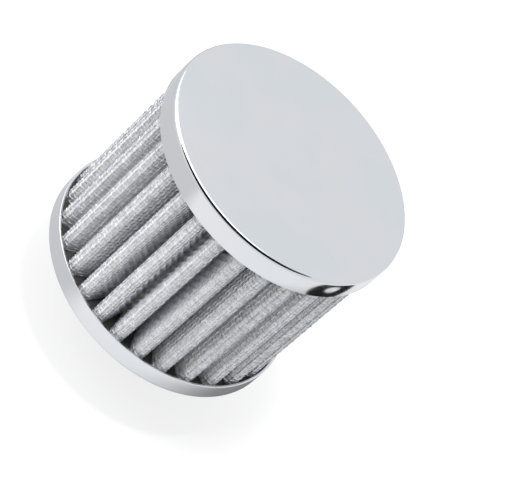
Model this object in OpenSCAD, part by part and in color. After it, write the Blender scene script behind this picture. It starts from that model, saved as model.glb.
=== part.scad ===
// Push-in crankcase breather filter: a drawn steel cap and base pan hold a ring of
// pleated gauze between two wire screens, and a steel neck takes a rubber grommet
// that snaps into the hole of a rocker cover. Millimetres, +Z up, neck end at Z = 0.

/* [Steel shells] */
// Outside diameter of the cap and of the base pan
body_d = 76.2; // [64:0.1:110]
// Height from the underside of the base pan to the top of the cap
body_h = 62.5; // [45:0.5:120]
// Thickness of the drawn sheet steel
steel_t = 0.8; // [0.5:0.05:1.2]
// Height of the skirt of the cap, over all
cap_skirt_h = 7; // [6:0.1:12]
// Height of the wall of the base pan, over all
pan_wall_h = 6.5; // [5.6:0.1:12]
// Radius of the top edge of the cap
cap_edge_r = 1.1; // [0.6:0.1:2]
// Radius of the bottom edge of the base pan
pan_edge_r = 1.6; // [0.9:0.1:2.5]
// Rounding of the cut edges of the sheet steel
cut_edge_r = 0.2; // [0:0.05:0.25]

/* [Pleated pack] */
// Spacing of the pleats, measured round the tips
pleat_pitch = 8.3; // [7.2:0.05:10]
// Depth of the pleats, from the tips outside to the folds inside
pleat_depth = 12; // [8:0.5:14]
// Thickness of the gauze
gauze_t = 1.1; // [0.8:0.05:1.2]
// Thickness of each woven wire screen
screen_t = 0.4; // [0.25:0.05:0.45]
// Smallest radius inside a fold
fold_r = 0.3; // [0.15:0.05:0.4]
// Gap between the pleat tips and the steel round them
tip_gap = 0.3; // [0.2:0.1:1]
// Furthest that the hand-set pleats wander from an even spacing, in degrees
pleat_wander = 1.4; // [0:0.1:1.6]
// Number of times that the spacing opens and closes round the pack
wander_waves = 3; // [1:1:4]

/* [Potting] */
// Thickness of the adhesive in the cap
cap_potting_h = 4; // [2.5:0.1:5]
// Thickness of the adhesive in the base pan
pan_potting_h = 3.2; // [2.2:0.1:4.5]
// Adhesive left under the ends of the pleats
pleat_bed = 1; // [0.5:0.1:1.5]
// How far the adhesive reaches from the inner folds to the flange of the neck, as a share of the way
potting_reach = 0.5; // [0.2:0.05:0.8]

/* [Neck] */
// Outside diameter of the neck tube
neck_d = 25.4; // [19:0.1:29]
// Wall of the neck tube
neck_t = 0.8; // [0.6:0.05:1.5]
// How far the neck stands out below the base pan
neck_drop = 21; // [18:0.5:40]
// Width of the flange that seats the neck on the floor of the pan
neck_flange_w = 4; // [2:0.5:5]
// Radius of the flared mouth between the bore and the flange
neck_mouth_r = 1.4; // [0.8:0.1:2]
// Clearance of the neck tube in the hole of the pan
neck_clearance = 0.05; // [0.02:0.01:0.1]

/* [Grommet] */
// Diameter of the hole that the groove of the grommet snaps into
cover_hole_d = 31.8; // [30:0.1:33]
// Thickness of the sheet that the groove grips
groove_w = 1.6; // [1:0.1:3]
// Diameter of the flange
grommet_flange_d = 39; // [36:0.5:50]
// Thickness of the flange
grommet_flange_h = 6; // [3:0.5:7]
// Diameter of the lip beside the groove
lip_root_d = 33.8; // [33:0.1:36]
// Largest diameter of the lip
lip_d = 37.8; // [34:0.1:42]
// Height of the lip from the groove to its largest diameter
lip_flare_h = 5.8; // [3:0.1:6]
// Diameter of the nose at the end of the lip
nose_d = 32; // [31:0.1:33]
// Height of the nose cone, from the largest diameter to the end
nose_h = 3; // [2:0.1:3.5]

/* [Hidden] */
$fn = 180;

CHROME = [0.82, 0.83, 0.85];
WIRE = [0.74, 0.75, 0.77];
GAUZE = [0.83, 0.83, 0.8];
ADHESIVE = [0.07, 0.07, 0.07];
RUBBER = [0.1, 0.1, 0.11];

// Straight pieces that stand for the arc of a rounded corner, of a pleat tip and of an inner fold
CORNER_STEPS = 6;
TIP_STEPS = 6;
FOLD_STEPS = 3;

// Levels along the axis
pan_z = neck_drop;
pan_floor_z = pan_z + steel_t;
cap_top_z = pan_z + body_h;
cap_under_z = cap_top_z - steel_t;
pack_bottom_z = pan_floor_z + pleat_bed;
pack_top_z = cap_under_z - pleat_bed;

// Radii of the shells
shell_r = body_d / 2;
shell_in_r = shell_r - steel_t;
cap_in_edge_r = max(cap_edge_r - steel_t, 0);
pan_in_edge_r = max(pan_edge_r - steel_t, 0);

// Radii of the pack. Both folds of the sheet turn round centres on these two circles.
sheet_t = gauze_t + 2 * screen_t;
pack_r = shell_in_r - tip_gap;
bore_of_pack_r = pack_r - pleat_depth;
tip_centre_r = pack_r - fold_r - sheet_t;
fold_centre_r = bore_of_pack_r + fold_r + sheet_t;
pleat_count = round(2 * PI * pack_r / pleat_pitch);

// Radii of the neck
neck_r = neck_d / 2;
neck_bore_r = neck_r - neck_t;
neck_chamfer = neck_t / 2;
neck_flange_r = neck_r + neck_flange_w;

// Inner radius of both rings of adhesive, between the folds and the flange of the neck
potting_in_r = bore_of_pack_r - (bore_of_pack_r - neck_flange_r) * potting_reach;

// Unit vector, and the direction of a vector in degrees
function unit(v) = v / norm(v);
function heading(v) = atan2(v[1], v[0]);

// The arc that rounds corner q of the outline p, q, s
function corner(p, q, s, r) =
    let (
        back = unit([p[0] - q[0], p[1] - q[1]]),
        ahead = unit([s[0] - q[0], s[1] - q[1]]),
        half = acos(back * ahead) / 2,
        centre = [q[0], q[1]] + unit(back + ahead) * r / sin(half),
        start = heading([q[0], q[1]] + back * r / tan(half) - centre),
        finish = heading([q[0], q[1]] + ahead * r / tan(half) - centre),
        turn = finish - start - 360 * round((finish - start) / 360)
    )
    [for (k = [0:CORNER_STEPS]) centre + r * [cos(start + turn * k / CORNER_STEPS), sin(start + turn * k / CORNER_STEPS)]];

// An outline whose corners [x, y, radius] are rounded where a radius is given
function rounded(corners) =
    let (n = len(corners))
    [for (i = [0:n - 1])
        let (q = corners[i], r = len(q) > 2 ? q[2] : 0)
        each r > 0 ? corner(corners[(i + n - 1) % n], q, corners[(i + 1) % n], r) : [[q[0], q[1]]]];

module turned(corners) {
    rotate_extrude() polygon(rounded(corners));
}

// Angle of pleat tip i round the pack. The spacing opens and closes a few times on the way round.
function tip_angle(i) =
    let (even = (i + 0.5) * 360 / pleat_count)
    even + pleat_wander * sin(wander_waves * even + 85);
function tip_centre(i) = tip_centre_r * [cos(tip_angle(i)), sin(tip_angle(i))];
function fold_angle(i) = (tip_angle(i) + tip_angle(i + 1)) / 2;
function fold_centre(i) = fold_centre_r * [cos(fold_angle(i)), sin(fold_angle(i))];

// The straight flanks touch a tip circle and a fold circle. The two radii always add up to the same
// sum, so the flanks of all the layers of the sheet are parallel.
radius_sum = 2 * fold_r + sheet_t;
function leave_tip(i) =
    let (v = fold_centre(i) - tip_centre(i))
    heading(v) - acos(radius_sum / norm(v));
function reach_tip(i) =
    let (v = tip_centre(i) - fold_centre(i - 1))
    heading(v) - 180 + acos(radius_sum / norm(v));
// Turns an angle by whole turns until it lies in the turn that starts at a given angle
function from(start, angle) = angle - 360 * floor((angle - start) / 360);

// The points of pleat i of the surface that lies depth outside the inner face of the sheet
function pleat(i, depth) =
    let (
        tip_r = fold_r + depth,
        fold_back_r = fold_r + sheet_t - depth,
        tip_from = reach_tip(i),
        tip_to = from(tip_from, leave_tip(i)),
        fold_from = tip_to + 180,
        fold_to = from(fold_from - 360, reach_tip(i + 1) + 180)
    )
    concat(
        [for (k = [0:TIP_STEPS])
            let (a = tip_from + (tip_to - tip_from) * k / TIP_STEPS)
            tip_centre(i) + tip_r * [cos(a), sin(a)]],
        [for (k = [0:FOLD_STEPS])
            let (a = fold_from + (fold_to - fold_from) * k / FOLD_STEPS)
            fold_centre(i) + fold_back_r * [cos(a), sin(a)]]
    );
function pleated_outline(depth) = [for (i = [0:pleat_count - 1]) each pleat(i, depth)];

// One layer of the sheet, between two depths in it
module pleated_layer(from_depth, to_depth) {
    outside = pleated_outline(to_depth);
    inside = pleated_outline(from_depth);
    n = len(outside);
    translate([0, 0, pack_bottom_z])
        linear_extrude(pack_top_z - pack_bottom_z)
            polygon(concat(outside, inside), [[for (k = [0:n - 1]) k], [for (k = [0:n - 1]) n + k]]);
}

// Adhesive that fills a shell from its floor to face_z and holds the ends of the pleats
module potting(floor_z, face_z, edge_r) {
    difference() {
        turned([
            [potting_in_r, floor_z],
            [shell_in_r, floor_z, edge_r],
            [shell_in_r, face_z],
            [potting_in_r, face_z]
        ]);
        pleated_layer(0, sheet_t);
    }
}

module top_cap() {
    color(CHROME)
        turned([
            [0, cap_top_z],
            [shell_r, cap_top_z, cap_edge_r],
            [shell_r, cap_top_z - cap_skirt_h, cut_edge_r],
            [shell_in_r, cap_top_z - cap_skirt_h, cut_edge_r],
            [shell_in_r, cap_under_z, cap_in_edge_r],
            [0, cap_under_z]
        ]);
}

module cap_potting() {
    color(ADHESIVE) potting(cap_under_z, cap_under_z - cap_potting_h, cap_in_edge_r);
}

module outer_screen() {
    color(WIRE) pleated_layer(screen_t + gauze_t, sheet_t);
}

module gauze() {
    color(GAUZE) pleated_layer(screen_t, screen_t + gauze_t);
}

module inner_screen() {
    color(WIRE) pleated_layer(0, screen_t);
}

module base_potting() {
    color(ADHESIVE) potting(pan_floor_z, pan_floor_z + pan_potting_h, pan_in_edge_r);
}

module base_pan() {
    hole_r = neck_r + neck_clearance;
    color(CHROME)
        turned([
            [hole_r, pan_z],
            [shell_r, pan_z, pan_edge_r],
            [shell_r, pan_z + pan_wall_h, cut_edge_r],
            [shell_in_r, pan_z + pan_wall_h, cut_edge_r],
            [shell_in_r, pan_floor_z, pan_in_edge_r],
            [hole_r, pan_floor_z]
        ]);
}

// Steel tube with a flared flange on the floor of the pan and a chamfered end
module neck_tube() {
    color(CHROME)
        turned([
            [neck_bore_r, 0],
            [neck_r - neck_chamfer, 0],
            [neck_r, neck_chamfer],
            [neck_r, pan_floor_z],
            [neck_flange_r, pan_floor_z],
            [neck_flange_r, pan_floor_z + neck_t, cut_edge_r],
            [neck_bore_r, pan_floor_z + neck_t, neck_mouth_r]
        ]);
}

// Moulded rubber: flange against the pan, groove for the sheet of the cover, flared lip below it
module grommet() {
    groove_top_z = pan_z - grommet_flange_h;
    groove_bottom_z = groove_top_z - groove_w;
    lip_z = groove_bottom_z - lip_flare_h;
    nose_z = lip_z - nose_h;
    soft_r = 0.5;
    color(RUBBER)
        turned([
            [neck_r, pan_z],
            [grommet_flange_d / 2, pan_z, soft_r],
            [grommet_flange_d / 2, groove_top_z, soft_r],
            [cover_hole_d / 2, groove_top_z],
            [cover_hole_d / 2, groove_bottom_z],
            [lip_root_d / 2, groove_bottom_z, soft_r / 2],
            [lip_d / 2, lip_z, 2 * soft_r],
            [nose_d / 2, nose_z + soft_r, soft_r],
            [nose_d / 2 - 2 * soft_r, nose_z, soft_r],
            [neck_r, nose_z]
        ]);
}

top_cap();
cap_potting();
outer_screen();
gauze();
inner_screen();
base_potting();
base_pan();
neck_tube();
grommet();
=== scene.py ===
# %% [markdown]
# # A crankcase breather filter in chrome, wire and gauze
#
# A breather filter sits on an engine's rocker cover and lets the crankcase breathe. A chromed
# steel cap and a chromed base hold a ring of pleated cotton gauze between two wire screens, and
# a short neck below the base plugs into the cover through a rubber grommet.
#
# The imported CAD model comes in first, as a frame that fixes every size. The pieces below are
# modelled round the same axis, in the same metres, and each one says which CAD node it dresses.

# %% Load the frame
import math

import bmesh
import bpy
from mathutils import Matrix, Vector


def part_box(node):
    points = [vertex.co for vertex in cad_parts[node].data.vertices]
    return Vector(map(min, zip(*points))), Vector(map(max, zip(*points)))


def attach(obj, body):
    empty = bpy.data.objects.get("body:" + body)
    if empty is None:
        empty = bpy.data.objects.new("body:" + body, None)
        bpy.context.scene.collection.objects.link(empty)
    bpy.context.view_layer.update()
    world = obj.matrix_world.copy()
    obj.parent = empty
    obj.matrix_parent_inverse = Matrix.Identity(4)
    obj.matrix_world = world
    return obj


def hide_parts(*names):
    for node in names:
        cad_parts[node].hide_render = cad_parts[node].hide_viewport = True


MM = 0.001

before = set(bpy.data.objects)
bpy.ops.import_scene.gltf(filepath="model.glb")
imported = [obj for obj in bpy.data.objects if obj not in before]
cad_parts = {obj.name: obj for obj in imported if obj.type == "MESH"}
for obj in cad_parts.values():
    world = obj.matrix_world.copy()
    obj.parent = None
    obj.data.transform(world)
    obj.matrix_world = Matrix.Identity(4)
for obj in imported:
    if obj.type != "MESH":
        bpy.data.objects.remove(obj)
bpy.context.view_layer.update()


# %% [markdown]
# ## The sizes of the filter
#
# The sizes repeat those of the CAD source, in metres. The height of a piece is read from its own
# CAD node, so that a new piece can't drift away from the solid that it stands for.

# %% Sizes
SHELL_R = 38.1 * MM
STEEL_T = 0.8 * MM
CUT_EDGE_R = 0.2 * MM


def height_of(node):
    """The lowest and the highest point of a CAD node."""
    return [corner.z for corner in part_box(node)]


CAP_BOTTOM, CAP_TOP = height_of("top_cap")
PAN_BOTTOM, PAN_TOP = height_of("base_pan")
print(f"the cap reaches from {CAP_BOTTOM / MM:.1f} to {CAP_TOP / MM:.1f} mm")
print(f"the base reaches from {PAN_BOTTOM / MM:.1f} to {PAN_TOP / MM:.1f} mm")

# %% [markdown]
# ## Working by hand, in code
#
# Each piece is made as it would be made by hand: add a primitive, go into edit mode, pick some
# faces or edges, and extrude, inset or bevel them. The one thing that a hand does and a script
# has to spell out is the picking, so these helpers pick by place: a ring of edges at one height
# and radius, or the faces that look up or down.

# %% Picking faces and edges
STRAIGHT = 0.9999


def start_clean():
    """Leaves edit mode and deselects all, so that the next piece is shaped alone."""
    if bpy.context.object and bpy.context.object.mode != "OBJECT":
        bpy.ops.object.mode_set(mode="OBJECT")
    bpy.ops.object.select_all(action="DESELECT")


def pick(test, kind="FACE"):
    """Selects the faces, edges or points of the piece in edit mode that pass a test."""
    bpy.ops.mesh.select_mode(type=kind)
    bpy.ops.mesh.select_all(action="DESELECT")
    mesh = bmesh.from_edit_mesh(bpy.context.object.data)
    parts = {"FACE": mesh.faces, "EDGE": mesh.edges, "VERT": mesh.verts}[kind]
    found = [part for part in parts if test(part)]
    for part in found:
        part.select_set(True)
    mesh.select_flush_mode()
    bmesh.update_edit_mesh(bpy.context.object.data)
    return len(found)


def looking(up, z, reach=0.002 * MM):
    """Faces that look straight up (1) or down (-1) at one height."""
    def at_height(face):
        return face.normal.z * up > STRAIGHT and abs(face.calc_center_median().z - z) < reach
    return at_height


def ring(radius, z, reach=0.02 * MM):
    """The edges of a circle round the axis, of one radius and at one height."""
    def near(co):
        return abs(math.hypot(co.x, co.y) - radius) < reach and abs(co.z - z) < reach
    return lambda edge: all(near(v.co) for v in edge.verts)


# %% [markdown]
# ## Pulling and rounding
#
# Two moves shape nearly every turned piece. One extrudes what is picked along the axis and gives
# the new end another radius. The other bevels one circle of edges, as a die or a mould rounds it.

# %% Pulling and rounding
def pull(along, widen=1.0):
    """Extrudes what is picked along the axis, and scales the new end about the axis."""
    bpy.ops.mesh.extrude_region_move(TRANSFORM_OT_translate={"value": (0, 0, along)})
    if widen != 1.0:
        bpy.ops.transform.resize(value=(widen, widen, 1), center_override=(0, 0, 0))


def round_off(radius, z, size, steps):
    """Bevels the edges of one circle."""
    edges = pick(ring(radius, z), "EDGE")
    bpy.ops.mesh.bevel(
        offset=size, offset_type="OFFSET", segments=steps, profile=0.5, affect="EDGES"
    )
    print(f"  {edges} edges rounded by {size / MM:.2f} mm at a radius of {radius / MM:.2f} mm")


# %% [markdown]
# ## Finishing a piece
#
# A finished piece gets its smooth shading, its finish and its name, and its place goes into its
# mesh, so that the object itself sits at the origin. Then it is tied to the frame: it rides on a
# body and stands in for a CAD node. A closed piece has no open edges.

# %% Finishing a piece
SMOOTH_BELOW = math.radians(35)


def finish_piece(name, material, slot, *nodes):
    """Leaves edit mode, smooths the shading, applies the place and puts the piece in the frame."""
    if bpy.context.object.mode != "OBJECT":
        bpy.ops.object.mode_set(mode="OBJECT")
    piece = bpy.context.object
    bpy.ops.object.transform_apply(location=True, rotation=True, scale=True)
    bpy.ops.object.shade_smooth_by_angle(angle=SMOOTH_BELOW)
    piece.name = piece.data.name = name
    piece.data.materials.clear()
    piece.data.materials.append(material)
    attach(piece, "root")
    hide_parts(*nodes)
    mesh = bmesh.new()
    mesh.from_mesh(piece.data)
    loose = sum(1 for edge in mesh.edges if not edge.is_manifold)
    volume = mesh.calc_volume() / MM ** 3
    mesh.free()
    print(f"{name}: {len(piece.data.polygons)} faces, {loose} open edges, {volume:.0f} mm3")
    return piece


# %% [markdown]
# ## Shader maths as plain expressions
#
# A material is a web of nodes. To keep it readable, a small class wraps one socket, and adding
# or multiplying two of them adds the Math node that does it. Every other node comes from one
# method that takes the node's type, its settings and what goes into its sockets.

# %% A value in a material
class Value:
    """One number that varies over a surface, as the socket that carries it."""

    def __init__(self, recipe, socket):
        self.recipe, self.socket = recipe, socket

    def maths(self, operation, *terms):
        made = self.recipe.node(
            "ShaderNodeMath", {"operation": operation}, dict(enumerate(terms))
        )
        return made("Value")

    def __add__(self, other): return self.maths("ADD", self, other)
    def __radd__(self, other): return self.maths("ADD", other, self)
    def __sub__(self, other): return self.maths("SUBTRACT", self, other)
    def __rsub__(self, other): return self.maths("SUBTRACT", other, self)
    def __mul__(self, other): return self.maths("MULTIPLY", self, other)
    def __rmul__(self, other): return self.maths("MULTIPLY", other, self)
    def __pow__(self, other): return self.maths("POWER", self, other)
    def __abs__(self): return self.maths("ABSOLUTE", self)
    def sine(self): return self.maths("SINE", self)
    def at_least(self, other): return self.maths("MAXIMUM", self, other)

    def ramp(self, low, high):
        """0 up to low and 1 from high, smooth between. It falls if low is above high."""
        start, end = (0.0, 1.0) if low < high else (1.0, 0.0)
        made = self.recipe.node("ShaderNodeMapRange", {"interpolation_type": "SMOOTHSTEP"}, {
            "Value": self, "From Min": min(low, high), "From Max": max(low, high),
            "To Min": start, "To Max": end,
        })
        return made("Result")


# %% [markdown]
# ## A recipe for a material
#
# A recipe holds one material's nodes and has a short word for each kind of node that the filter
# needs: where a point is, a noise, a blend of two colours, a relief, and the surface at the end.
# A noise's scale counts its blobs in a metre, so 900 makes marks of about a millimetre.

# %% A recipe
MIX_FIRST, MIX_SECOND, MIXED = 6, 7, 2


class Recipe:
    """The nodes of one material."""

    def __init__(self, name):
        self.material = bpy.data.materials.new(name)
        self.material.use_nodes = True
        self.tree = self.material.node_tree
        self.tree.nodes.clear()

    def node(self, kind, settings=None, inputs=None):
        """Adds a node, sets it up, fills its sockets, and returns a way to ask for its outputs."""
        made = self.tree.nodes.new(kind)
        for key, value in (settings or {}).items():
            setattr(made, key, value)
        for key, value in (inputs or {}).items():
            if isinstance(value, Value):
                self.tree.links.new(value.socket, made.inputs[key])
            else:
                made.inputs[key].default_value = value
        return lambda output: Value(self, made.outputs[output])

    def place(self):
        """Where a point of the surface is on the object, in metres."""
        return self.node("ShaderNodeTexCoord")("Object")

    def split(self, vector):
        """The three numbers of a place."""
        parts = self.node("ShaderNodeSeparateXYZ", None, {"Vector": vector})
        return parts("X"), parts("Y"), parts("Z")

    def join(self, x, y, z):
        """A place made of three numbers."""
        return self.node("ShaderNodeCombineXYZ", None, {"X": x, "Y": y, "Z": z})("Vector")

    def noise(self, where, scale, detail=2.0, roughness=0.5):
        """A soft random pattern from 0 to 1."""
        made = self.node("ShaderNodeTexNoise", None, {
            "Vector": where, "Scale": scale, "Detail": detail, "Roughness": roughness,
        })
        return made("Fac")

    def blend(self, share, first, second):
        """A mix of two colours."""
        made = self.node("ShaderNodeMix", {"data_type": "RGBA"}, {
            "Factor": share, MIX_FIRST: first, MIX_SECOND: second,
        })
        return made(MIXED)

    def bump(self, height, depth, below=None):
        """Relief: height from 0 to 1 stands for this depth in metres."""
        inputs = {"Strength": 1.0, "Distance": depth, "Height": height}
        if below is not None:
            inputs["Normal"] = below
        return self.node("ShaderNodeBump", None, inputs)("Normal")

    def surface(self, **inputs):
        """Ends the recipe in a Principled shader. Names are the socket's, with _ for a space."""
        named = {key.replace("_", " "): value for key, value in inputs.items()}
        shader = self.node("ShaderNodeBsdfPrincipled", None, named)("BSDF")
        self.node("ShaderNodeOutputMaterial", None, {"Surface": shader})
        print(f"{self.material.name}: {len(self.tree.nodes)} nodes")
        return self.material


# %% [markdown]
# ## Chrome
#
# Chrome has almost no colour of its own, so what it reflects makes the look, and what makes it
# real is how little it is perfect: drawn sheet is never quite flat, the plating varies by a hair
# in tone, and polishing leaves a haze of very fine marks that spreads the reflection. All three
# are slow noises on Object coordinates, so they keep their size in millimetres.

# %% Chrome plate
CLOUDED = (0.66, 0.67, 0.7, 1)
MARK_DEPTH = 0.00015 * MM


def chrome_plate(name, tint, haze, waves):
    """Chromed steel of one tone, with so much haze and waves so high."""
    recipe = Recipe(name)
    where = recipe.place()
    x, y, z = recipe.split(where)
    broad = recipe.noise(where, 38.0, 2.0)
    cloudy = recipe.noise(where, 95.0, 4.0, 0.6)
    marks = recipe.noise(recipe.join(x, y * 7.0, z * 7.0), 900.0, 3.0, 0.7)
    red, green, blue = tint
    plate, cool = (red, green, blue, 1), (red * 0.955, green, blue * 1.005, 1)
    colour = recipe.blend(broad.ramp(0.42, 0.68) * 0.8, plate, cool)
    colour = recipe.blend(cloudy.ramp(0.5, 0.85) * 0.12, colour, CLOUDED)
    roughness = haze + cloudy.ramp(0.35, 0.75) * 0.05 + marks.ramp(0.55, 0.75) * 0.05
    relief = recipe.bump(recipe.noise(where, 70.0, 1.0), waves)
    relief = recipe.bump(marks, MARK_DEPTH, relief)
    return recipe.surface(Base_Color=colour, Metallic=1.0, Roughness=roughness, Normal=relief)


shell_chrome = chrome_plate("shell_chrome_plate", (0.845, 0.85, 0.865), 0.09, 0.02 * MM)
neck_chrome = chrome_plate("neck_chrome_plate", (0.76, 0.765, 0.78), 0.16, 0.01 * MM)

# %% [markdown]
# ## The cap
#
# The cap is one disc of sheet steel drawn into a shallow cup. By hand that is a short cylinder
# whose underside is inset by the sheet's thickness and pushed up inside it. A bevel gives the
# drawn edge its radius: that narrow band turns from face to skirt within a millimetre, so it
# squeezes a whole room of reflections into one thin bright and one thin dark line.

# %% Cap
SHELL_SIDES = 288
CAP_EDGE_R = 1.1 * MM
FLAT_RIM = 0.25 * MM


def drawn_cup(z_from, z_to, mouth_up, edge_r, name):
    """A shallow cup of sheet steel with its mouth up (1) or down (-1), open in edit mode."""
    start_clean()
    bpy.ops.mesh.primitive_cylinder_add(
        vertices=SHELL_SIDES, radius=SHELL_R, depth=z_to - z_from,
        end_fill_type="NGON", location=(0, 0, (z_from + z_to) / 2),
    )
    bpy.ops.object.transform_apply(location=True, rotation=True, scale=True)
    bpy.ops.object.mode_set(mode="EDIT")
    mouth, back = (z_to, z_from) if mouth_up > 0 else (z_from, z_to)
    inside = back + mouth_up * STEEL_T
    pick(looking(mouth_up, mouth))
    bpy.ops.mesh.inset(thickness=STEEL_T)
    pull(back - mouth + mouth_up * STEEL_T)
    print(f"{name}: a cup {2 * SHELL_R / MM:.1f} mm wide and {(z_to - z_from) / MM:.1f} mm high")
    round_off(SHELL_R, back, edge_r, 8)
    round_off(SHELL_R - STEEL_T, inside, edge_r - STEEL_T, 4)
    round_off(SHELL_R, mouth, CUT_EDGE_R, 3)
    round_off(SHELL_R - STEEL_T, mouth, CUT_EDGE_R, 3)
    # A narrow flat rim keeps the smooth shading of the edge off the flat faces
    for up, z in ((-mouth_up, back), (mouth_up, inside)):
        pick(looking(up, z))
        bpy.ops.mesh.inset(thickness=FLAT_RIM)


drawn_cup(CAP_BOTTOM, CAP_TOP, -1, CAP_EDGE_R, "cap")
finish_piece("cap_shell", shell_chrome, "shell_chrome", "top_cap")

# %% [markdown]
# ## The base
#
# The base is a second drawn cup, mouth up, with a hole for the neck. The hole is cut as a press
# would cut it: the same circle is inset on both faces, and bridging the two circles makes its wall.

# %% Base
PAN_EDGE_R = 1.6 * MM
NECK_R = 12.7 * MM
NECK_PLAY = 0.05 * MM
PAN_FLOOR = PAN_BOTTOM + STEEL_T


def cut_hole(radius, upper, lower, upper_r, lower_r):
    """A round hole between two heights, at which the flat faces reach the given radii."""
    for up, z, reach in ((1, upper, upper_r), (-1, lower, lower_r)):
        pick(looking(up, z))
        bpy.ops.mesh.inset(thickness=reach - radius)
        bpy.ops.mesh.delete(type="FACE")
    edges = pick(lambda edge: edge.is_boundary, "EDGE")
    bpy.ops.mesh.bridge_edge_loops()
    print(f"  a hole of {2 * radius / MM:.2f} mm, bridged across {edges} edges")


drawn_cup(PAN_BOTTOM, PAN_TOP, 1, PAN_EDGE_R, "base")
flat_r = SHELL_R - PAN_EDGE_R - FLAT_RIM
cut_hole(NECK_R + NECK_PLAY, PAN_FLOOR, PAN_BOTTOM, flat_r, flat_r)
finish_piece("base_shell", shell_chrome, "shell_chrome", "base_pan")

# %% [markdown]
# ## The neck
#
# The neck is a tube whose upper end is turned out into a flange that lies on the floor of the
# base. A circle is pulled up into a tube and then out into the flange, Solidify gives that
# surface the wall of the tube, and a bevel rounds the mouth between the bore and the flange.

# %% Neck
PIPE_SIDES = 192
NECK_FLANGE_R = 16.7 * MM
NECK_T = 0.8 * MM
NECK_MOUTH_R = 1.4 * MM

start_clean()
bpy.ops.mesh.primitive_circle_add(
    vertices=PIPE_SIDES, radius=NECK_R, fill_type="NOTHING", location=(0, 0, 0)
)
bpy.ops.object.mode_set(mode="EDIT")
bpy.ops.mesh.select_all(action="SELECT")
pull(PAN_FLOOR)
pull(0, NECK_FLANGE_R / NECK_R)
bpy.ops.mesh.select_all(action="SELECT")
bpy.ops.mesh.normals_make_consistent(inside=False)
bpy.ops.object.mode_set(mode="OBJECT")
wall = bpy.context.object.modifiers.new("wall", "SOLIDIFY")
wall.thickness, wall.offset, wall.use_even_offset = NECK_T, 1.0, True
bpy.ops.object.modifier_apply(modifier=wall.name)
inside_top = max(v.co.z for v in bpy.context.object.data.vertices)
bpy.ops.object.mode_set(mode="EDIT")
round_off(NECK_R - NECK_T, inside_top, NECK_MOUTH_R, 6)
round_off(NECK_R, 0.0, NECK_T / 2, 1)
finish_piece("neck_pipe", neck_chrome, "neck_chrome", "neck_tube")
cad_top = height_of("neck_tube")[1]
print(f"the flange's face is at {inside_top / MM:.2f} mm, the CAD's at {cad_top / MM:.2f} mm")

# %% [markdown]
# ## Rubber
#
# A moulded grommet is near black with a soft sheen. Fine pores from the mould break the sheen
# up, and a thin grey bloom lies on it in patches, where the sheen is duller.

# %% Moulded rubber
RUBBER, BLOOM = (0.018, 0.018, 0.02, 1), (0.05, 0.05, 0.053, 1)
BLOOM_DEPTH, PORE_DEPTH = 0.06 * MM, 0.012 * MM


def moulded_rubber():
    recipe = Recipe("grommet_moulded_rubber")
    where = recipe.place()
    bloom = recipe.noise(where, 160.0, 5.0, 0.65)
    pores = recipe.noise(where, 2600.0, 3.0, 0.6)
    relief = recipe.bump(bloom, BLOOM_DEPTH)
    relief = recipe.bump(pores, PORE_DEPTH, relief)
    return recipe.surface(
        Base_Color=recipe.blend(bloom.ramp(0.45, 0.75) * 0.6, RUBBER, BLOOM),
        Roughness=0.42 + bloom.ramp(0.35, 0.7) * 0.16,
        Normal=relief, Specular_IOR_Level=0.45,
    )


grommet_rubber = moulded_rubber()

# %% [markdown]
# ## The grommet
#
# The grommet is turned from its flange downwards: a step in makes the groove that grips the
# cover's sheet, a step out the root of the lip, then the lip flares and closes into the nose.
# Each step is one extrusion of the lower face with a change of radius. The bore goes right
# through, and the moulded edges are bevelled last, while the corners are still easy to pick.

# %% Grommet
FLANGE_R, GROOVE_R, LIP_ROOT_R = 19.5 * MM, 15.9 * MM, 16.9 * MM
LIP_R, NOSE_R = 18.9 * MM, 16.0 * MM
SOFT_R = 0.5 * MM
NOSE_Z, FLANGE_Z = height_of("grommet")
GROOVE_TOP = FLANGE_Z - 6.0 * MM
GROOVE_BOTTOM = GROOVE_TOP - 1.6 * MM
LIP_Z = GROOVE_BOTTOM - 5.8 * MM
NOSE_FLAT_R = NOSE_R - SOFT_R

start_clean()
bpy.ops.mesh.primitive_cylinder_add(
    vertices=PIPE_SIDES, radius=FLANGE_R, depth=FLANGE_Z - GROOVE_TOP,
    end_fill_type="NGON", location=(0, 0, (FLANGE_Z + GROOVE_TOP) / 2),
)
bpy.ops.object.transform_apply(location=True, rotation=True, scale=True)
bpy.ops.object.mode_set(mode="EDIT")
pick(looking(-1, GROOVE_TOP))
bpy.ops.mesh.inset(thickness=FLANGE_R - GROOVE_R)
pull(GROOVE_BOTTOM - GROOVE_TOP)
pull(0, LIP_ROOT_R / GROOVE_R)
pull(LIP_Z - GROOVE_BOTTOM, LIP_R / LIP_ROOT_R)
pull(NOSE_Z - LIP_Z, NOSE_FLAT_R / LIP_R)
cut_hole(NECK_R, FLANGE_Z, NOSE_Z, FLANGE_R, NOSE_FLAT_R)
for radius, z, size, steps in (
    (FLANGE_R, FLANGE_Z, SOFT_R, 4),
    (FLANGE_R, GROOVE_TOP, SOFT_R, 4),
    (LIP_ROOT_R, GROOVE_BOTTOM, SOFT_R / 2, 3),
    (LIP_R, LIP_Z, 2 * SOFT_R, 6),
    (NOSE_FLAT_R, NOSE_Z, 1.6 * SOFT_R, 5),
):
    round_off(radius, z, size, steps)
finish_piece("rubber_grommet", grommet_rubber, "grommet_rubber", "grommet")

# %% [markdown]
# ## The path of the pleats
#
# The pack is one long strip, screen, gauze and screen together, folded to and fro and closed
# into a ring. So the pleats are one path: a wide arc round each tip, a tight one in each inner
# fold, and straight flanks between them. Every layer runs along a path of its own at a fixed
# distance from the others. The spacing wanders a little, as it does when folds are set by hand.

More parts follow.
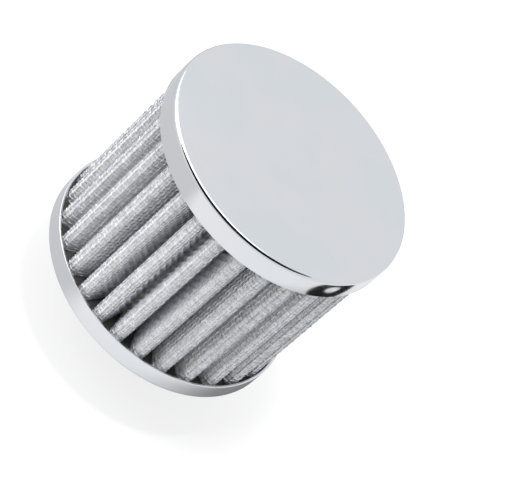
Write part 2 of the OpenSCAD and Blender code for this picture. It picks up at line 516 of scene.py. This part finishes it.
# %% Tips and folds
PLEATS = 28
PLEAT_DEPTH = 12.0 * MM
TIP_REACH = 37.0 * MM
GAUZE_T = 1.1 * MM
SCREEN_T = 0.4 * MM
SHEET_T = GAUZE_T + 2 * SCREEN_T
FOLD_R = 0.3 * MM
TIP_RING = TIP_REACH - FOLD_R - SHEET_T
FOLD_RING = TIP_REACH - PLEAT_DEPTH + FOLD_R + SHEET_T
WANDER, WANDER_WAVES, WANDER_START = 1.4, 3, 85


def tip_angle(i):
    even = 360 / PLEATS * (i + 0.5)
    wave = math.sin(math.radians(WANDER_WAVES * even + WANDER_START))
    return math.radians(even + WANDER * wave)


def on_circle(radius, angle):
    return radius * Vector((math.cos(angle), math.sin(angle)))


def tip(i):
    """The centre of the arc round one tip."""
    return on_circle(TIP_RING, tip_angle(i))


def fold(i):
    """The centre of the arc in the inner fold after that tip."""
    return on_circle(FOLD_RING, (tip_angle(i) + tip_angle(i + 1)) / 2)


widths = [(tip(i + 1) - tip(i)).length / MM for i in range(PLEATS)]
print(f"the tips of the {PLEATS} pleats are {min(widths):.1f} to {max(widths):.1f} mm apart")

# %% [markdown]
# ## One path for each layer
#
# A flank is the straight line that touches two arcs, one on each side of it, so its lean follows
# from the distance of their centres. With that, each arc's first and last angle are known, and
# the arcs alone give the path: the flanks are the gaps between them.

# %% Pleat path
FULL_TURN = 2 * math.pi
TIP_STEPS, FOLD_STEPS = 20, 10
SEAM_PLEAT = 6


def heading(vector):
    return math.atan2(vector.y, vector.x)


def arc(centre, radius, first, last, steps):
    angles = [first + (last - first) * k / steps for k in range(steps + 1)]
    return [centre + on_circle(radius, angle) for angle in angles]


def pleat_path(depth):
    """Points of the closed path that lies this far outside the inner face of the strip."""
    points = []
    lean = 2 * FOLD_R + SHEET_T
    for i in range(PLEATS):
        up, down, next_up = tip(i) - fold(i - 1), fold(i) - tip(i), tip(i + 1) - fold(i)
        onto_tip = heading(up) - math.pi + math.acos(lean / up.length)
        off_tip = heading(down) - math.acos(lean / down.length)
        off_tip += FULL_TURN * math.ceil((onto_tip - off_tip) / FULL_TURN)
        onto_fold = off_tip + math.pi
        off_fold = heading(next_up) + math.acos(lean / next_up.length)
        off_fold += FULL_TURN * math.floor((onto_fold - off_fold) / FULL_TURN)
        points += arc(tip(i), FOLD_R + depth, onto_tip, off_tip, TIP_STEPS)
        points += arc(fold(i), FOLD_R + SHEET_T - depth, onto_fold, off_fold, FOLD_STEPS)
    # The path starts in the middle of an inner fold, so that the strip's seam is out of sight
    start = SEAM_PLEAT * (TIP_STEPS + FOLD_STEPS + 2) + TIP_STEPS + 1 + FOLD_STEPS // 2
    return points[start:] + points[:start]


def path_length(points):
    return sum((b - a).length for a, b in zip(points, points[1:] + points[:1]))


LAYERS = {
    "outer screen": SHEET_T - SCREEN_T / 2,
    "gauze": SCREEN_T + GAUZE_T / 2,
    "inner screen": SCREEN_T / 2,
}
for layer, depth in LAYERS.items():
    length = path_length(pleat_path(depth)) / MM
    print(f"the strip of the {layer} is {length:.0f} mm long before it is folded")

# %% [markdown]
# ## Cotton gauze
#
# The filter medium is a few plies of open cotton gauze. Close up it is a soft weave of off-white
# threads, a little fuzzy, with flecks where the plies don't line up. The holes between the threads
# are painted dark, as shade inside them. The pattern has to follow the folds, so it reads the
# strip's own UV map, in which the strip is still flat.

# %% Gauze finish
THREAD = 0.62 * MM
THREAD_DEPTH = 0.14 * MM
HOLE_SHADE, COTTON, FLECK = (0.26, 0.26, 0.255, 1), (0.6, 0.6, 0.595, 1), (0.8, 0.8, 0.8, 1)


def cotton_gauze(length, height):
    recipe = Recipe("cotton_gauze_plies")
    across, up, _ = recipe.split(recipe.node("ShaderNodeTexCoord")("UV"))
    across, up = across * (length / THREAD), up * (height / THREAD)
    wander = recipe.noise(recipe.join(across, up, 0.0), 0.35, 3.0) - 0.5
    threads = abs(((across + wander * 0.9) * math.pi).sine())
    picks = abs(((up + wander * 0.9) * math.pi).sine())
    weave = threads.at_least(picks)
    flecks = recipe.noise(recipe.join(across, up, 3.0), 0.55, 4.0, 0.7)
    fluff = recipe.noise(recipe.join(across, up, 7.0), 3.0, 3.0, 0.7)
    # The weave is the gauze's own pattern; the dark of its holes is painted shade
    colour = recipe.blend(weave.ramp(0.25, 0.9), HOLE_SHADE, COTTON)
    colour = recipe.blend(flecks.ramp(0.5, 0.72) * 0.5, colour, FLECK)
    relief = recipe.bump(weave + fluff * 0.35, THREAD_DEPTH)
    return recipe.surface(
        Base_Color=colour, Roughness=0.92, Normal=relief, Sheen_Weight=0.25, Sheen_Roughness=0.6
    )


# %% [markdown]
# ## Folding a strip
#
# A strip starts as a flat grid, as long as its path. The Curve modifier folds it along the path,
# and the two ends are merged where they meet. The same two helpers serve the gauze here and the
# wires of the screen further down.

# %% Folding a strip
CURVE_NAME = "pleat_path"


def flat_strip(length, z_from, z_to, columns, rows):
    """A flat upright grid: the way along the strip is X, its outer face looks along -Y."""
    start_clean()
    bpy.ops.mesh.primitive_grid_add(x_subdivisions=columns, y_subdivisions=rows, size=1.0)
    strip = bpy.context.object
    strip.scale = (length, z_to - z_from, 1)
    strip.rotation_euler = (math.pi / 2, 0, 0)
    strip.location = (length / 2, 0, (z_from + z_to) / 2)
    bpy.ops.object.transform_apply(location=True, rotation=True, scale=True)
    return strip


def path_curve(points):
    """A closed curve through the points, for the Curve modifier."""
    data = bpy.data.curves.new(CURVE_NAME, "CURVE")
    data.dimensions, data.use_path = "2D", True
    data.use_deform_bounds = data.use_radius = False
    spline = data.splines.new("POLY")
    spline.points.add(len(points) - 1)
    for spot, point in zip(spline.points, points):
        spot.co = (point.x, point.y, 0, 1)
    spline.use_cyclic_u = True
    curve = bpy.data.objects.new(CURVE_NAME, data)
    bpy.context.scene.collection.objects.link(curve)
    return curve


def fold_up(strip, points, merge):
    """Folds a flat strip along the pleats and closes it into a ring."""
    curve = path_curve(points)
    bend = strip.modifiers.new("pleats", "CURVE")
    bend.object, bend.deform_axis = curve, "POS_X"
    bpy.context.view_layer.objects.active = strip
    bpy.ops.object.modifier_apply(modifier=bend.name)
    bpy.data.objects.remove(curve)
    bpy.ops.object.mode_set(mode="EDIT")
    bpy.ops.mesh.select_all(action="SELECT")
    bpy.ops.mesh.remove_doubles(threshold=merge)
    bpy.ops.object.mode_set(mode="OBJECT")
    reach = [math.hypot(v.co.x, v.co.y) / MM for v in strip.data.vertices]
    print(f"folded: from {min(reach):.2f} to {max(reach):.2f} mm from the axis")


# %% [markdown]
# ## The gauze
#
# The folded strip gets the thickness of the plies from Solidify, half to each side. The grid is
# fine along the strip, where the tips turn tightly, and has only two rows, because a pleat is
# straight from top to bottom. The gauze is a real sheet, so its flat size is stated too: a
# cutter needs it, and it shows that folding has not stretched the cloth.

# %% Gauze
GAUZE_COLUMNS, GAUZE_ROWS = 2400, 2
GAUZE_MERGE = 0.03 * MM
SHEET_BOTTOM, SHEET_TOP = height_of("gauze")

gauze_path = pleat_path(LAYERS["gauze"])
gauze_length = path_length(gauze_path)
strip = flat_strip(gauze_length, SHEET_BOTTOM, SHEET_TOP, GAUZE_COLUMNS, GAUZE_ROWS)
fold_up(strip, gauze_path, GAUZE_MERGE)
plies = strip.modifiers.new("plies", "SOLIDIFY")
plies.thickness, plies.offset = GAUZE_T, 0.0
bpy.ops.object.modifier_apply(modifier=plies.name)
bpy.ops.object.mode_set(mode="EDIT")
bpy.ops.mesh.select_all(action="SELECT")
bpy.ops.mesh.normals_make_consistent(inside=False)
gauze_finish = cotton_gauze(gauze_length, SHEET_TOP - SHEET_BOTTOM)
gauze = finish_piece("gauze_plies", gauze_finish, "cotton_gauze", "gauze")
print(f"the gauze is cut {gauze_length / MM:.1f} mm long "
      f"and {(SHEET_TOP - SHEET_BOTTOM) / MM:.1f} mm wide")

# %% [markdown]
# ## Screen wire
#
# The wire is thin and drawn, with a dull epoxy coating, so it is a soft grey metal with a broad
# highlight. Every millimetre or two the wire is painted darker in random patches, so that the
# bright bits between read as painted glints and break up what would be a far too regular grid of
# highlights. The uprights are painted a shade darker than the hoops, a darker copy of the same
# wire, and the eye reads the pleats as rows of hoops.

# %% Screen wire finish
DARK_BETWEEN_GLINTS = (0.45, 0.45, 0.46, 1)
DRAWING_DEPTH = 0.006 * MM


def screen_wire(name, bright, dull):
    """Coated wire, bright where clean and dull where dust lies on it, with painted glints."""
    recipe = Recipe(name)
    where = recipe.place()
    dust = recipe.noise(where, 260.0, 4.0, 0.6)
    drawn = recipe.noise(where, 5200.0, 2.0, 0.6)
    painted_glint_breaks = recipe.noise(where, 650.0, 2.0, 0.6)
    colour = recipe.blend(dust.ramp(0.4, 0.7), bright, dull)
    # Painted glints: random patches of the wire are painted darker, so the bright bits between read
    # as glints
    colour = recipe.blend(painted_glint_breaks.ramp(0.62, 0.38) * 0.7, colour, DARK_BETWEEN_GLINTS)
    roughness = 0.42 + dust.ramp(0.35, 0.7) * 0.2
    relief = recipe.bump(drawn, DRAWING_DEPTH)
    return recipe.surface(Base_Color=colour, Metallic=0.6, Roughness=roughness, Normal=relief)


hoop_finish = screen_wire("screen_drawn_wire", (0.92, 0.94, 0.99, 1), (0.835, 0.85, 0.89, 1))
# Painted shade: the uprights get a copy of the hoops' wire painted a shade darker, dust pattern
# kept
shaded_upright_finish = screen_wire("screen_wire_painted_shade", (0.775, 0.79, 0.825, 1), (0.68, 0.69, 0.715, 1))

# %% [markdown]
# ## The grid of the screen
#
# The screen has a wire about every 1.4 millimetres both ways. The number of uprights has to be
# even, or over and under would no longer alternate where the strip closes into a ring, and that
# number fixes the exact pitch. The uprights end inside the adhesive, so that no cut end shows.

# %% Grid of the weave
MESH_PITCH = 1.39 * MM
WIRE_R = 0.155 * MM
INTO_ADHESIVE = 0.7 * MM

screen_path = pleat_path(LAYERS["outer screen"])
screen_length = path_length(screen_path)
COLUMNS = 2 * round(screen_length / MESH_PITCH / 2)
STEP = screen_length / COLUMNS
WEAVE_BOTTOM = height_of("base_potting")[1] - INTO_ADHESIVE
ROWS = round((height_of("cap_potting")[0] + INTO_ADHESIVE - WEAVE_BOTTOM) / STEP)
print(f"{COLUMNS} uprights and {ROWS + 1} hoops, {STEP / MM:.3f} mm apart")

# %% [markdown]
# ## The woven wire screen
#
# The screen is a plain weave: each wire goes over one and under the next. A flat grid already
# has a vertex at every crossing, so lifting every other vertex, as on a chessboard, makes all
# its rows into woven wires at once. Deleting the edges the other way leaves the rows alone, a
# conversion to curves gives them a round section, and the pleats fold them up like the gauze.
# The uprights are made from a second grid with the opposite squares lifted, so that the two
# sets pass over and under each other. Both sets are made in two bands, a lower and an upper
# one, so that no piece gets too many faces.

# %% Woven wires
ALONG, UP = 0, 2
WIRE_MERGE = 0.002 * MM


def woven_wires(name, upright, first_row, last_row):
    """The uprights or the hoops of one band of the screen."""
    bottom, top = WEAVE_BOTTOM + first_row * STEP, WEAVE_BOTTOM + last_row * STEP
    flat_strip(screen_length, bottom, top, COLUMNS, last_row - first_row)
    bpy.ops.object.mode_set(mode="EDIT")
    lifted, unwanted = (0, ALONG) if upright else (1, UP)

    def on_lifted_square(v):
        return (round(v.co.x / STEP) + round((v.co.z - WEAVE_BOTTOM) / STEP)) % 2 == lifted

    def runs_the_unwanted_way(edge):
        start, end = (v.co[unwanted] for v in edge.verts)
        return abs(start - end) > STEP / 2

    pick(on_lifted_square, "VERT")
    bpy.ops.transform.translate(value=(0, -2 * WIRE_R, 0))
    bpy.ops.mesh.select_all(action="SELECT")
    bpy.ops.transform.translate(value=(0, WIRE_R, 0))
    pick(runs_the_unwanted_way, "EDGE")
    bpy.ops.mesh.delete(type="EDGE_FACE")
    if upright:
        # The last upright would lie on the first when the strip is closed
        pick(lambda v: v.co.x > screen_length - STEP / 2, "VERT")
        bpy.ops.mesh.delete(type="VERT")
    bpy.ops.object.mode_set(mode="OBJECT")
    bpy.ops.object.convert(target="CURVE")
    wires = bpy.context.object.data
    wires.bevel_depth, wires.bevel_resolution, wires.use_fill_caps = WIRE_R, 0, True
    bpy.ops.object.convert(target="MESH")
    fold_up(bpy.context.object, screen_path, WIRE_MERGE)
    finish = shaded_upright_finish if upright else hoop_finish
    finish_piece(name, finish, "screen_wire", "outer_screen")


middle = ROWS // 2
woven_wires("screen_hoops_lower", False, 0, middle)
woven_wires("screen_hoops_upper", False, middle + 1, ROWS)
woven_wires("screen_uprights_lower", True, 0, middle)
woven_wires("screen_uprights_upper", True, middle, ROWS)

# %% [markdown]
# ## The adhesive
#
# The feet of the pleats stand in black urethane that was poured and set with small swirls. It is
# hardly seen, and its CAD solid already has the right shape, so the solid stays and only gets a
# finish.

# %% Adhesive
SWIRL_DEPTH, SPECK_DEPTH = 0.25 * MM, 0.03 * MM
URETHANE, URETHANE_SWIRL = (0.04, 0.038, 0.036, 1), (0.085, 0.08, 0.075, 1)


def cast_adhesive():
    recipe = Recipe("cast_black_urethane")
    where = recipe.place()
    swirl = recipe.noise(where, 210.0, 4.0, 0.55)
    specks = recipe.noise(where, 1500.0, 2.0)
    colour = recipe.blend(swirl.ramp(0.4, 0.75), URETHANE, URETHANE_SWIRL)
    relief = recipe.bump(swirl, SWIRL_DEPTH)
    relief = recipe.bump(specks, SPECK_DEPTH, relief)
    roughness = 0.35 + swirl.ramp(0.3, 0.7) * 0.25
    return recipe.surface(Base_Color=colour, Roughness=roughness, Normal=relief)


def dress_solid(node, finish):
    """Gives a CAD solid that stays its finish."""
    for cad_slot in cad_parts[node].material_slots:
        cad_slot.material = finish
    print(f"{node}: the CAD solid stays, finished as {finish.name}")


adhesive = cast_adhesive()
dress_solid("cap_potting", adhesive)
dress_solid("base_potting", adhesive)

# %% [markdown]
# ## The inner screen
#
# The inner screen shows only through the neck. Its CAD solid stays too, and its weave is painted
# and embossed by two crossed waves instead of being modelled: one wave goes round with the angle
# from the axis, the other goes up.

# %% Inner screen
WEAVE_DEPTH = 0.2 * MM
SCREEN_GAP, SCREEN_WIRE = (0.7, 0.7, 0.68, 1), (0.45, 0.45, 0.46, 1)
SCREEN_DUST = (0.4, 0.4, 0.38, 1)


def painted_screen():
    recipe = Recipe("inner_screen_weave")
    where = recipe.place()
    x, y, z = recipe.split(where)
    angle = x.maths("ARCTAN2", y, x)
    uprights = abs((angle * (COLUMNS / 4)).sine())
    hoops = abs((z * (math.pi / MESH_PITCH)).sine())
    wires = uprights.at_least(hoops)
    metal = wires.ramp(0.8, 0.95)
    dust = recipe.noise(where, 260.0, 4.0)
    colour = recipe.blend(metal, SCREEN_GAP, SCREEN_WIRE)
    colour = recipe.blend(dust.ramp(0.5, 0.8) * 0.3, colour, SCREEN_DUST)
    relief = recipe.bump(wires, WEAVE_DEPTH)
    return recipe.surface(
        Base_Color=colour, Metallic=metal * 0.7, Roughness=0.75 - metal * 0.3, Normal=relief
    )


dress_solid("inner_screen", painted_screen())

# %% [markdown]
# ## The floor
#
# The filter stands on plain pale paper. To the camera the paper is nearly white and still keeps
# the filter's shadow, because a part of its own shading stays in the mix. What chrome shows of
# it is a painted reflection, chosen apart: a mirror shows the paper painted grey to the left,
# pale in front, and dark close to the right of the base as a painted shadow of the filter, as on
# a real sheet on a table between lamps. A ray that comes from below goes through, so that the
# underside of the filter can be looked at.

# %% Floor paper
WHITE_TO_THE_EYE = 0.78
TONED_IN_MIRRORS = 0.85
PAPER_LOW, PAPER_HIGH = (0.78, 0.78, 0.78, 1), (0.81, 0.81, 0.81, 1)
MIRRORED_LEFT, MIRRORED_FRONT = (0.475, 0.472, 0.49, 1), (0.785, 0.78, 0.795, 1)
PAINTED_SHADOW_IN_MIRRORS = (0.09, 0.09, 0.095, 1)


def glow(recipe, colour):
    """A shader that shows one colour, whatever light falls on it."""
    return recipe.node("ShaderNodeEmission", None, {"Color": colour, "Strength": 1.0})("Emission")


def mix_shaders(recipe, share, first, second):
    return recipe.node("ShaderNodeMixShader", None, {0: share, 1: first, 2: second})("Shader")


def floor_in_mirrors(recipe):
    """The painted reflection of the paper, with a painted shadow of the filter near the base."""
    x, y, z = recipe.split(recipe.place())
    to_the_front = x * 0.891 - y * 0.454
    # Painted shade and light: in mirrors the paper is grey to the left and pale in front
    tone = recipe.blend(to_the_front.ramp(-0.012, 0.014), MIRRORED_LEFT, MIRRORED_FRONT)
    # Painted shadow of the filter: mirrors show the paper dark close to the right of the base
    off_x, off_y = x - 0.054, y - 0.01
    from_painted_shadow = (off_x * off_x + off_y * off_y) ** 0.5
    return recipe.blend(from_painted_shadow.ramp(0.076, 0.01), tone, PAINTED_SHADOW_IN_MIRRORS)


def floor_paper():
    recipe = Recipe("studio_floor_paper")
    mottle = recipe.noise(recipe.place(), 9.0, 3.0)
    own = {"Color": recipe.blend(mottle, PAPER_LOW, PAPER_HIGH)}
    paper = recipe.node("ShaderNodeBsdfDiffuse", None, own)("BSDF")
    white, mirrored = glow(recipe, (1, 1, 1, 1)), glow(recipe, floor_in_mirrors(recipe))
    rays = recipe.node("ShaderNodeLightPath")
    in_mirrors = rays("Is Glossy Ray").at_least(rays("Is Transmission Ray"))
    mixed = mix_shaders(recipe, rays("Is Camera Ray") * WHITE_TO_THE_EYE, paper, white)
    mixed = mix_shaders(recipe, in_mirrors * TONED_IN_MIRRORS, mixed, mirrored)
    from_below = recipe.node("ShaderNodeNewGeometry")("Backfacing")
    clear = recipe.node("ShaderNodeBsdfTransparent")("BSDF")
    mixed = mix_shaders(recipe, from_below, mixed, clear)
    recipe.node("ShaderNodeOutputMaterial", None, {"Surface": mixed})
    return recipe.material


# %% [markdown]
# ## Laying the floor
#
# The paper is far larger than the filter, so that its edge shows from no side.

# %% Floor
FLOOR_SIZE = 6.0

start_clean()
bpy.ops.mesh.primitive_plane_add(size=FLOOR_SIZE, location=(0, 0, 0))
floor = bpy.context.object
floor.name = "studio_floor"
floor.data.materials.append(floor_paper())
print(f"a floor {FLOOR_SIZE:.0f} m wide at the height of the neck's end")

# %% [markdown]
# ## The room and the lamps
#
# Chrome shows the whole room, so the room is part of the finish. The room is a pale grey all
# round. Two broad soft boxes show in the chrome: the overhead one draws the bright line along
# the cap's edge, the left one lights the flanks of the pleats. Three more only light the filter
# and don't show. One of them is small and high above, so that its light is hard enough to make
# each wire of the screen stand out from the gauze.

# %% Room and lamps
ROOM_COLOUR, ROOM_STRENGTH = (0.93, 0.94, 0.965, 1), 0.845
AIM = Vector((0, 0, 0.05))
SOFT_BOXES = (  # name, place, width, height, watts, whether reflections show it
    ("overhead_box", (-0.215, 0.29, 0.87), 0.68, 0.59, 2.0, True),
    ("left_box", (-0.6, 0.26, 0.79), 0.8, 0.58, 2.0, True),
    ("top_box", (-0.1, -0.15, 0.95), 0.14, 0.14, 7.1, False),
    ("key_box", (-0.75, -0.3, 0.6), 0.5, 0.5, 5.2, False),
    ("front_box", (0.05, -0.75, 0.75), 0.6, 0.5, 0.5, False),
)

room = bpy.data.worlds.new("studio_room")
room.use_nodes = True
room_light = room.node_tree.nodes["Background"]
room_light.inputs["Color"].default_value = ROOM_COLOUR
room_light.inputs["Strength"].default_value = ROOM_STRENGTH
bpy.context.scene.world = room

for name, place, width, height, watts, mirrored in SOFT_BOXES:
    lamp = bpy.data.lights.new(name, "AREA")
    lamp.shape, lamp.size, lamp.size_y, lamp.energy = "RECTANGLE", width, height, watts
    box = bpy.data.objects.new(name, lamp)
    bpy.context.scene.collection.objects.link(box)
    box.location = place
    box.rotation_euler = (AIM - Vector(place)).to_track_quat("-Z", "Y").to_euler()
    box.visible_camera, box.visible_glossy = False, mirrored
    print(f"{name}: {width} by {height} m, {watts} W, {(AIM - Vector(place)).length:.2f} m away")

# %% [markdown]
# ## Dark things in the chrome
#
# Without something dark to mirror, chrome looks like white plastic. Two dark shapes glow dark
# for reflections only, so the dark they put in the chrome is painted reflection. A cord that
# hangs close over the front of the cap's edge draws the thin dark line along that edge, and being
# so near it leaves the cap's face bright from nearly every side. A flat ring near the floor puts a
# small dark patch on the skirt of the cap.

# %% Dark cord and ring
DARK_IN_REFLECTIONS = (0.014, 0.014, 0.0155, 1)
CORD_STEPS = 48
CORD_RING, CORD_Z, CORD_R = 38.75 * MM, 86.0 * MM, 2.1 * MM
CORD_MIDDLE, CORD_HALF_TURN = math.radians(274.5), math.radians(43)
RING_PLACE = Vector((109.5, 23.5, 8.0)) * MM
RING_R, RING_HALF_WIDTH, RING_FLATNESS = 22.6 * MM, 11.7 * MM, 0.3


def only_mirrored(thing, name):
    """Makes an object a dark one that only reflections see."""
    recipe = Recipe(name + "_cloth")
    recipe.node("ShaderNodeOutputMaterial", None, {"Surface": glow(recipe, DARK_IN_REFLECTIONS)})
    thing.name = name
    thing.data.materials.append(recipe.material)
    thing.visible_camera = thing.visible_diffuse = False
    thing.visible_shadow = thing.visible_transmission = False
    print(f"{name}: {len(thing.data.polygons)} faces that only reflections see")


def cord_curve(name):
    """A cord round a part of the cap's edge that thins out to both ends."""
    data = bpy.data.curves.new(name, "CURVE")
    data.dimensions, data.bevel_depth, data.bevel_resolution = "3D", CORD_R, 4
    line = data.splines.new("POLY")
    line.points.add(CORD_STEPS)
    for i, point in enumerate(line.points):
        along = 2 * i / CORD_STEPS - 1
        place = on_circle(CORD_RING, CORD_MIDDLE + along * CORD_HALF_TURN)
        point.co = (place.x, place.y, CORD_Z, 1)
        point.radius = (1 - along * along) ** 0.5
    cord = bpy.data.objects.new(name, data)
    bpy.context.scene.collection.objects.link(cord)
    return cord


start_clean()
cord = cord_curve("dark_cord")
cord.select_set(True)
bpy.context.view_layer.objects.active = cord
bpy.ops.object.convert(target="MESH")
only_mirrored(bpy.context.object, "dark_cord")

start_clean()
bpy.ops.mesh.primitive_torus_add(
    location=RING_PLACE, major_radius=RING_R, minor_radius=RING_HALF_WIDTH
)
bpy.context.object.scale.z = RING_FLATNESS
only_mirrored(bpy.context.object, "dark_ring")

# %% [markdown]
# ## The camera
#
# The filter stands upright, and in the picture it leans with its cap up and to the right, so it
# is the camera that is turned. The numbers come from fitting a camera to the rims of the cap and
# of the base: where the axis points in the picture, how far away it is, and the focal length.

# %% Camera
AXIS_FROM_VIEWER = math.radians(50.8726)
AXIS_IN_PICTURE = math.radians(41.5674)
FOCAL_PIXELS, PICTURE_WIDTH = 2757.97, 522
BASE_FROM_CAMERA = Vector((-27.687, 8.088, 773.71)) * MM
TURN = math.radians(180.43)
SENSOR = 36.0

axis = Vector((
    math.sin(AXIS_FROM_VIEWER) * math.cos(AXIS_IN_PICTURE),
    -math.sin(AXIS_FROM_VIEWER) * math.sin(AXIS_IN_PICTURE),
    -math.cos(AXIS_FROM_VIEWER),
))
side = axis.cross(Vector((0, 0, 1))).normalized()
other = axis.cross(side)
into_camera = Matrix((side, other, axis)).transposed().to_4x4()
into_camera.translation = BASE_FROM_CAMERA
onto_the_base = Matrix.Translation((0, 0, -PAN_BOTTOM))
into_camera = into_camera @ Matrix.Rotation(-TURN, 4, "Z") @ onto_the_base
looking_back = Matrix.Diagonal((1, -1, -1, 1))

lens = bpy.data.cameras.new("camera")
lens.sensor_width, lens.lens = SENSOR, FOCAL_PIXELS * SENSOR / PICTURE_WIDTH
lens.clip_start, lens.clip_end = 0.05, 20.0
camera = bpy.data.objects.new("camera", lens)
bpy.context.scene.collection.objects.link(camera)
camera.matrix_world = (looking_back @ into_camera).inverted()
bpy.context.scene.camera = camera
bpy.context.scene.view_settings.view_transform = "Standard"
print("the camera is at", [round(c / MM) for c in camera.matrix_world.translation], "mm")
